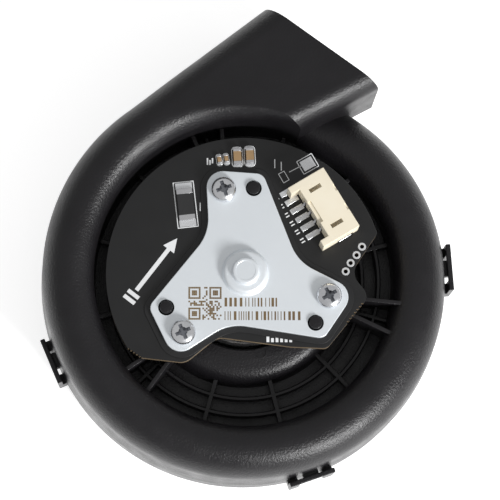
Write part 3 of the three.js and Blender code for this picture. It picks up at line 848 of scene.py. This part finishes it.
def connector_pads():
    joints = [solder_joint(PAD_SPAN, y) for y in PIN_ROW]
    joints += [solder_joint(PAD_SPAN, y, height=0.18) for y in SPARE_PADS]
    joints += [solder_joint(SIDE_PAD_SPAN, side * SIDE_PAD_Y, 0.8) for side in (1, -1)]
    return place(merged(joints), "connector_solder", SOLDER)


# ---- Small parts on the board ----

CHIP_BEVEL = 0.09
CHIP_STEP = 0.03
SHUNT_CAP = 1.1
SHUNT_SOLDER = 1.15
CAPACITOR_CAP = 0.2
CAPACITOR_SOLDER = 0.12
SHUNT = ((-11.8, 13.9), (6.4, 3.2, 0.6), 96.5)
LARGE_CHIP = (3.2, 1.6, 1.2)
SMALL_CHIP = (1.6, 0.8, 0.8)
LARGE_AT = [(-1.5, 23.6), (1, 23.8)]
SMALL_AT = [(-5.1, 23), (-3.7, 23.2)]
LARGE_DEG = 93
SMALL_DEG = 100


def two_terminal(name, node, at, size, deg, body_material, cap):
    """A chip body between two tinned end caps."""
    length, width, height = size
    z = level(node, 0)
    low = (-length / 2 + cap * 0.7, -width / 2 + CHIP_STEP, z)
    high = (length / 2 - cap * 0.7, width / 2 - CHIP_STEP, z + height - CHIP_STEP)
    body = block(low, high, CHIP_BEVEL * 0.6)
    ends = [block((x0, -width / 2, z), (x0 + cap, width / 2, z + height), CHIP_BEVEL, segments=3)
            for x0 in (-length / 2, length / 2 - cap)]
    count = len(body.data.polygons)
    obj = moved(merged([body] + ends), at, deg)
    obj.data.materials.append(body_material)
    obj.data.materials.append(TIN)
    for face in obj.data.polygons:
        face.material_index = 0 if face.index < count else 1
    return place(obj, name, None, [node])


def end_solder(at, size, deg, reach, name):
    """Solder fillets at the two ends of a chip."""
    length, width = size
    half = width / 2 + 0.08
    parts = []
    for side in (1, -1):
        middle = side * (length / 2 + reach / 2)
        parts.append(block((middle - reach / 2 - 0.1, -half, PCB_TOP),
                           (middle + reach / 2 + 0.1, half, PCB_TOP + 0.2), 0.09, segments=3))
    return place(moved(merged(parts), at, deg), name, SOLDER)


def board_parts():
    at, size, deg = SHUNT
    two_terminal("chip_shunt_resistor", "shunt_resistor", at, size, deg, EPOXY, SHUNT_CAP)
    end_solder(at, size[:2], deg, SHUNT_SOLDER, "solder_shunt_resistor")
    chips = [(at, LARGE_CHIP, LARGE_DEG) for at in LARGE_AT]
    chips += [(at, SMALL_CHIP, SMALL_DEG) for at in SMALL_AT]
    for number, (at, size, deg) in enumerate(chips, 1):
        node = f"capacitor_{number}"
        two_terminal("chip_" + node, node, at, size, deg, CERAMIC, size[0] * CAPACITOR_CAP)
        end_solder(at, size[:2], deg, size[0] * CAPACITOR_SOLDER, "solder_" + node)


RING_PAD_RADII = (0.42, 0.8)
TEST_PAD_AT = (12.6, 22.3)
TEST_PAD_DEG = 30


def ring_pads():
    """Bare pads: four rings and one rectangular test pad."""
    r_in, r_out = RING_PAD_RADII
    rings = [moved(ring(r_in, r_out, PCB_TOP, PCB_TOP + 0.06, 0.02, 32), at) for at in RING_PADS]
    rings.append(block((-1.3, -1.1, PCB_TOP), (1.3, 1.1, PCB_TOP + 0.12), 0.05, TEST_PAD_DEG,
                       TEST_PAD_AT, 3))
    return place(merged(rings), "bare_pads", SOLDER)


# ---- Printed marks, all generic ----

INK_T = 0.02
PLATE_INK_T = 0.012
ARROW_AT = (-21.5, -3.4)
ARROW_DEG = 52.5


def tiles(rects, z, t=INK_T):
    """Flat printed rectangles as thin closed boxes."""
    verts, faces = [], []
    sides = ((3, 2, 1, 0), (4, 5, 6, 7), (0, 1, 5, 4), (1, 2, 6, 5), (2, 3, 7, 6), (3, 0, 4, 7))
    for x0, y0, x1, y1 in rects:
        k = len(verts)
        verts += [(x, y, h) for h in (z, z + t) for x, y in ((x0, y0), (x1, y0), (x1, y1), (x0, y1))]
        faces += [tuple(k + i for i in side) for side in sides]
    return from_faces("tiles", verts, faces)


def printed_frame(size, radius, width, z, at, deg):
    """A printed rounded frame."""
    def loop(inset):
        x, y, r = size[0] / 2 - inset, size[1] / 2 - inset, max(0.05, radius - inset)
        return filleted([(-x, -y, r), (x, -y, r), (x, y, r), (-x, y, r)], SMALL_FILLET_STEPS)

    loops = [loop(0), loop(width)]
    n = len(loops[0])
    verts = [(x, y, h) for h in (z, z + INK_T) for points in loops for x, y in points]
    faces = []
    for i in range(n):
        j = (i + 1) % n
        faces += [(i, j, 2 * n + j, 2 * n + i), (n + j, n + i, 3 * n + i, 3 * n + j),
                  (2 * n + i, 2 * n + j, 3 * n + j, 3 * n + i), (j, i, n + i, n + j)]
    return moved(from_faces("frame", verts, faces), at, deg)


def turning_arrow():
    """A plain arrow beside the plate, for the turning direction."""
    half, wide, length, head = 0.42, 1.35, 13.2, 2.8
    neck = length - head
    outline = [(0, -half), (neck, -half), (neck, -wide), (length, 0), (neck, wide), (neck, half), (0, half)]
    arrow = prism(outline, PCB_TOP, PCB_TOP + INK_T)
    tail = tiles([(-1.4, -wide, -0.6, wide), (-2.7, -wide, -1.9, wide)], PCB_TOP)
    return [moved(arrow, ARROW_AT, ARROW_DEG), moved(tail, ARROW_AT, ARROW_DEG)]


def silkscreen():
    """Frames round the parts, and plain ticks where labels would be."""
    z = PCB_TOP
    parts = turning_arrow()
    shunt_at, _, shunt_deg = SHUNT
    parts.append(printed_frame((9.4, 4.2), 0.1, 0.18, z, shunt_at, shunt_deg))
    parts += [printed_frame((4.4, 2.3), 0.9, 0.16, z, at, LARGE_DEG) for at in LARGE_AT]
    parts += [printed_frame((2.5, 1.25), 0.5, 0.13, z, at, SMALL_DEG) for at in SMALL_AT]
    ticks = [(-9.0 + 0.5 * i, 12.6, -8.8 + 0.5 * i, 14.3) for i in range(2)]
    ticks += [(-7.6, 22.0, -7.3, 23.4), (-7.1, 22.0, -6.8, 23.0), (-6.6, 22.3, -6.3, 23.4)]
    ticks += [(5.9, 21.4, 6.1, 23.2), (7.2, 20.9, 7.4, 22.7)]
    ticks += [(4.2 + 0.9 * i, -13.7, 4.75 + 0.9 * i, -12.6 - 0.3 * (i % 2)) for i in range(6)]
    parts.append(tiles(ticks, z))
    parts.append(printed_frame((2.2, 1.4), 0.1, 0.14, z, (7.8, 19.6), -60))
    parts.append(moved(tiles([(0, -0.07, 4.0, 0.07)], z), (8.9, 20.6), 28))
    parts.append(printed_frame((3.6, 3.1), 0.2, 0.16, z, TEST_PAD_AT, TEST_PAD_DEG))
    for y in (*PIN_ROW, *SPARE_PADS):
        pair = [(-5.5, y - 0.45, -4.7, y - 0.2), (-5.5, y + 0.2, -4.7, y + 0.45)]
        parts.append(on_header(tiles(pair, z)))
    return place(merged(parts), "silkscreen", INK)


CODE_CELLS = 19
CODE_CELL = 0.345
CODE_CORNER = (-11.25, -9.45)
CODE_SEED = 11
FINDER_CELLS = 7
BAR_ROWS = ((-6.8, 6.6), (-9.5, 10.4))
BAR_START = -4.1
BAR_HEIGHT = 1.75
BAR_WIDTHS = (0.16, 0.3, 0.5)
BAR_GAPS = (0.3, 0.45, 0.6)
BAR_SEED = 5


def code_cells():
    """A made-up dot pattern with square frames in three corners."""
    cells = CODE_CELLS
    last = cells - FINDER_CELLS
    source = random.Random(CODE_SEED)
    dark = {(i, j) for i in range(cells) for j in range(cells) if source.random() < 0.5}
    for ci, cj in ((0, 0), (0, last), (last, last)):
        for i in range(-1, FINDER_CELLS + 1):
            for j in range(-1, FINDER_CELLS + 1):
                dark.discard((ci + i, cj + j))
                edge = max(abs(i - 3), abs(j - 3))
                if edge == 3 or edge <= 1:
                    dark.add((ci + i, cj + j))
    return {(i, j) for i, j in dark if 0 <= i < cells and 0 <= j < cells}


def plate_marks():
    """The dot pattern and two rows of bars beside it."""
    cell, gap = CODE_CELL, 0.01
    x0, y0 = CODE_CORNER
    rects = []
    for i, j in sorted(code_cells()):
        rects.append((x0 + i * cell + gap, y0 + j * cell + gap,
                      x0 + (i + 1) * cell - gap, y0 + (j + 1) * cell - gap))
    source = random.Random(BAR_SEED)
    for y, end in BAR_ROWS:
        x = BAR_START
        while x < end:
            w = source.choice(BAR_WIDTHS)
            rects.append((x, y, x + w, y + BAR_HEIGHT))
            x += w + source.choice(BAR_GAPS)
    return place(tiles(rects, PLATE_TOP, PLATE_INK_T), "plate_marks", BROWN_INK)


# ---- Rest of the carried-over nodes ----

CAD_MATERIALS = {
    "driver_chip": EPOXY, "bearing_tube": BRASS, "rotor_bushing": BRASS,
    "rotor_cup": ROTOR_STEEL, "rotor_magnet": MAGNET,
    "stator_core": LAMINATION, "stator_insulator_upper": NYLON, "stator_insulator_lower": NYLON,
    "impeller": IMPELLER, "impeller_shroud": IMPELLER,
}
CAD_PREFIXES = {"connector_pin": TIN, "connector_solder": TIN, "mosfet": EPOXY, "coil": COPPER}
CAD_SHARP_DEG = 30


def finish_frame_nodes():
    """Materials and smooth shading on the CAD nodes that stay in view; the rest are replaced."""
    for name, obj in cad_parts.items():
        material = CAD_MATERIALS.get(name, STEEL)
        for prefix, other in CAD_PREFIXES.items():
            if name.startswith(prefix):
                material = other
        obj.data.materials.clear()
        obj.data.materials.append(material)
        obj.data.polygons.foreach_set("use_smooth", [True] * len(obj.data.polygons))
        obj.data.set_sharp_from_angle(angle=math.radians(CAD_SHARP_DEG))


# ---- Stage ----

FLOOR_HALF = 3
FLOOR_DROP = 0.0005
FLOOR_GLOW = 0.62
WORLD_STRENGTH = 0.5
KEY_AT = (0.38, -0.45, 0.34)
KEY_TARGET = (0, 0, 0.02)
KEY_SIZE = 0.16
KEY_POWER = 5.5


def area_light(name, at, target, size, power):
    data = bpy.data.lights.new(name, "AREA")
    data.shape = "RECTANGLE"
    data.size = data.size_y = size
    data.energy = power
    obj = bpy.data.objects.new(name, data)
    bpy.context.scene.collection.objects.link(obj)
    obj.location = at
    obj.rotation_euler = (Vector(target) - Vector(at)).to_track_quat("-Z", "Y").to_euler()


def build_stage():
    """A white floor that glows a little, an even white world and one key light."""
    mesh = bpy.data.meshes.new("floor")
    h = FLOOR_HALF
    mesh.from_pydata([(-h, -h, 0), (h, -h, 0), (h, h, 0), (-h, h, 0)], [], [(0, 1, 2, 3)])
    floor = new_object("floor", mesh)
    floor.location.z = -FLOOR_DROP
    white = new_material("floor_white", (0.9, 0.9, 0.9), 0.8, Emission_Color=(1, 1, 1, 1),
                         Emission_Strength=FLOOR_GLOW)
    mesh.materials.append(white)
    world = bpy.data.worlds.new("studio")
    bpy.context.scene.world = world
    world.use_nodes = True
    background = world.node_tree.nodes["Background"]
    background.inputs["Color"].default_value = (1, 1, 1, 1)
    background.inputs["Strength"].default_value = WORLD_STRENGTH
    area_light("key", KEY_AT, KEY_TARGET, KEY_SIZE, KEY_POWER)


CAMERA_ELEVATION = 80.5
CAMERA_TURN = 11.3
CAMERA_DISTANCE = 0.45
CAMERA_TARGET_Z = 0.020
CAMERA_LENS = 161
CAMERA_SHIFT = (0.012, 0.058)
SENSOR_WIDTH = 36


def build_camera():
    """Long lens from above, leaning a little to the front; +Y is up in the picture."""
    elevation = math.radians(CAMERA_ELEVATION)
    azimuth = roll = math.radians(CAMERA_TURN)
    target = AXIS + Vector((0, 0, CAMERA_TARGET_Z))
    away = Vector((-math.sin(azimuth) * math.cos(elevation),
                   -math.cos(azimuth) * math.cos(elevation), math.sin(elevation)))
    right = Vector((0, 0, 1)).cross(away).normalized()
    turn = Matrix.Rotation(roll, 3, away)
    right = turn @ right
    up = away.cross(right)
    data = bpy.data.cameras.new("camera")
    camera = bpy.data.objects.new("camera", data)
    bpy.context.scene.collection.objects.link(camera)
    camera.matrix_world = (Matrix.Translation(target + away * CAMERA_DISTANCE)
                           @ Matrix((right, up, away)).transposed().to_4x4())
    data.sensor_width = SENSOR_WIDTH
    data.lens = CAMERA_LENS
    data.shift_x, data.shift_y = CAMERA_SHIFT
    bpy.context.scene.camera = camera


# ---- Build ----

finish_frame_nodes()
outer_shape = volute_outer()
chamber_shape = volute_chamber()
lower_housing(copy_of(outer_shape), copy_of(chamber_shape))
upper_housing(outer_shape, chamber_shape)
motor_plate()
insulator_film()
for number, screw_deg in enumerate(lobe_angles(SCREW_DEG), 1):
    plate_screw(number, screw_deg)
driver_board()
header_housing()
connector_pads()
board_parts()
ring_pads()
silkscreen()
plate_marks()
build_stage()
build_camera()
bpy.context.view_layer.update()
bpy.context.scene.view_settings.view_transform = "Standard"
